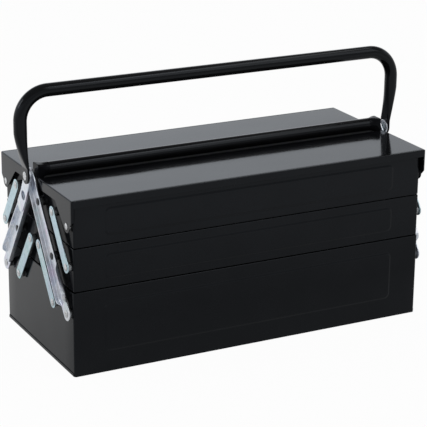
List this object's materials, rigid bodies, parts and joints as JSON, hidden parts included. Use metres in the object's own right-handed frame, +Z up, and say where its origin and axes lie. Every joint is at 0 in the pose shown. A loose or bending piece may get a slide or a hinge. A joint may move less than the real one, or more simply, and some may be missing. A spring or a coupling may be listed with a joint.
{
  "type": "cantilever tool box",
  "caption": "Folded sheet-steel tool box whose lidded trays swing out front and rear on riveted arms, with a bow carry handle and a grab bar.",
  "frame": {"origin": "centre of the base on the surface that the box stands on", "axes": "+Z up, +X along the length to the right seen from the front, -Y towards the front"},
  "size_m": [0.5912, 0.25, 0.3685],
  "materials": {
    "painted_sheet": "black gloss stoved enamel on sheet steel",
    "painted_tube": "black gloss enamel on bent steel tube",
    "zinc_strip": "bright zinc-plated steel strip with a bluish tint",
    "rivet_steel": "zinc-plated rivets",
    "spacer_steel": "dull zinc-plated washers"
  },
  "bodies": {
    "root": {"bottom_box": "painted_sheet", "base_pan": "painted_sheet", "box_rivets": "rivet_steel", "box_spacers": "spacer_steel"},
    "front_arms": {"front_arm_left": "zinc_strip", "front_arm_right": "zinc_strip"},
    "front_middle": {"front_middle_tray": "painted_sheet", "front_middle_rivets": "rivet_steel", "front_middle_spacers": "spacer_steel"},
    "front_top": {"front_top_tray": "painted_sheet", "front_top_rivets": "rivet_steel", "front_top_spacers": "spacer_steel", "front_lid_rivets": "rivet_steel", "grab_bar": "painted_tube", "grab_bar_feet": "painted_tube", "grab_bar_rivets": "rivet_steel"},
    "front_lid": {"front_lid": "painted_sheet"},
    "front_lower_links": {"front_lower_link_left": "zinc_strip", "front_lower_link_right": "zinc_strip"},
    "front_upper_links": {"front_upper_link_left": "zinc_strip", "front_upper_link_right": "zinc_strip"},
    "rear_arms": {"rear_arm_left": "zinc_strip", "rear_arm_right": "zinc_strip", "handle_plates": "zinc_strip", "handle_rivets": "rivet_steel"},
    "rear_middle": {"rear_middle_tray": "painted_sheet", "rear_middle_rivets": "rivet_steel", "rear_middle_spacers": "spacer_steel"},
    "rear_top": {"rear_top_tray": "painted_sheet", "rear_top_rivets": "rivet_steel", "rear_top_spacers": "spacer_steel", "rear_lid_rivets": "rivet_steel"},
    "rear_lid": {"rear_lid": "painted_sheet"},
    "rear_lower_links": {"rear_lower_link_left": "zinc_strip", "rear_lower_link_right": "zinc_strip"},
    "rear_upper_links": {"rear_upper_link_left": "zinc_strip", "rear_upper_link_right": "zinc_strip"},
    "carry_handle": {"carry_handle": "painted_tube"}
  },
  "joints": [
    {"name": "front_swing", "type": "hinge", "parent": "root", "child": "front_arms", "pos_m": [0, -0.108, 0.087], "axis": [1, 0, 0], "range_deg": [0, 71.2]},
    {"name": "front_middle_level", "type": "hinge", "parent": "front_arms", "child": "front_middle", "pos_m": [0, -0.06142, 0.1518], "axis": [1, 0, 0], "range_deg": [-71.2, 0]},
    {"name": "front_top_level", "type": "hinge", "parent": "front_arms", "child": "front_top", "pos_m": [0, -0.017, 0.2136], "axis": [1, 0, 0], "range_deg": [-71.2, 0]},
    {"name": "front_lower_link_swing", "type": "hinge", "parent": "root", "child": "front_lower_links", "pos_m": [0, -0.061, 0.087], "axis": [1, 0, 0], "range_deg": [0, 71.2]},
    {"name": "front_upper_link_swing", "type": "hinge", "parent": "front_middle", "child": "front_upper_links", "pos_m": [0, -0.10842, 0.1518], "axis": [1, 0, 0], "range_deg": [0, 71.2]},
    {"name": "front_lid_hinge", "type": "hinge", "parent": "front_top", "child": "front_lid", "pos_m": [0, -0.107, 0.207], "axis": [1, 0, 0], "range_deg": [0, 120]},
    {"name": "rear_swing", "type": "hinge", "parent": "root", "child": "rear_arms", "pos_m": [0, 0.108, 0.087], "axis": [-1, 0, 0], "range_deg": [0, 71.2]},
    {"name": "rear_middle_level", "type": "hinge", "parent": "rear_arms", "child": "rear_middle", "pos_m": [0, 0.06142, 0.1518], "axis": [-1, 0, 0], "range_deg": [-71.2, 0]},
    {"name": "rear_top_level", "type": "hinge", "parent": "rear_arms", "child": "rear_top", "pos_m": [0, 0.017, 0.2136], "axis": [-1, 0, 0], "range_deg": [-71.2, 0]},
    {"name": "rear_lower_link_swing", "type": "hinge", "parent": "root", "child": "rear_lower_links", "pos_m": [0, 0.061, 0.087], "axis": [-1, 0, 0], "range_deg": [0, 71.2]},
    {"name": "rear_upper_link_swing", "type": "hinge", "parent": "rear_middle", "child": "rear_upper_links", "pos_m": [0, 0.10842, 0.1518], "axis": [-1, 0, 0], "range_deg": [0, 71.2]},
    {"name": "rear_lid_hinge", "type": "hinge", "parent": "rear_top", "child": "rear_lid", "pos_m": [0, 0.107, 0.207], "axis": [-1, 0, 0], "range_deg": [0, 120]},
    {"name": "handle_fold", "type": "hinge", "parent": "rear_arms", "child": "carry_handle", "pos_m": [0, 0, 0.246], "axis": [1, 0, 0], "range_deg": [-84, 84]}
  ],
  "couplings": [
    {"joint": "front_middle_level", "follows": "front_swing", "ratio": -1},
    {"joint": "front_top_level", "follows": "front_swing", "ratio": -1},
    {"joint": "front_lower_link_swing", "follows": "front_swing", "ratio": 1},
    {"joint": "front_upper_link_swing", "follows": "front_swing", "ratio": 1},
    {"joint": "rear_middle_level", "follows": "rear_swing", "ratio": -1},
    {"joint": "rear_top_level", "follows": "rear_swing", "ratio": -1},
    {"joint": "rear_lower_link_swing", "follows": "rear_swing", "ratio": 1},
    {"joint": "rear_upper_link_swing", "follows": "rear_swing", "ratio": 1}
  ]
}
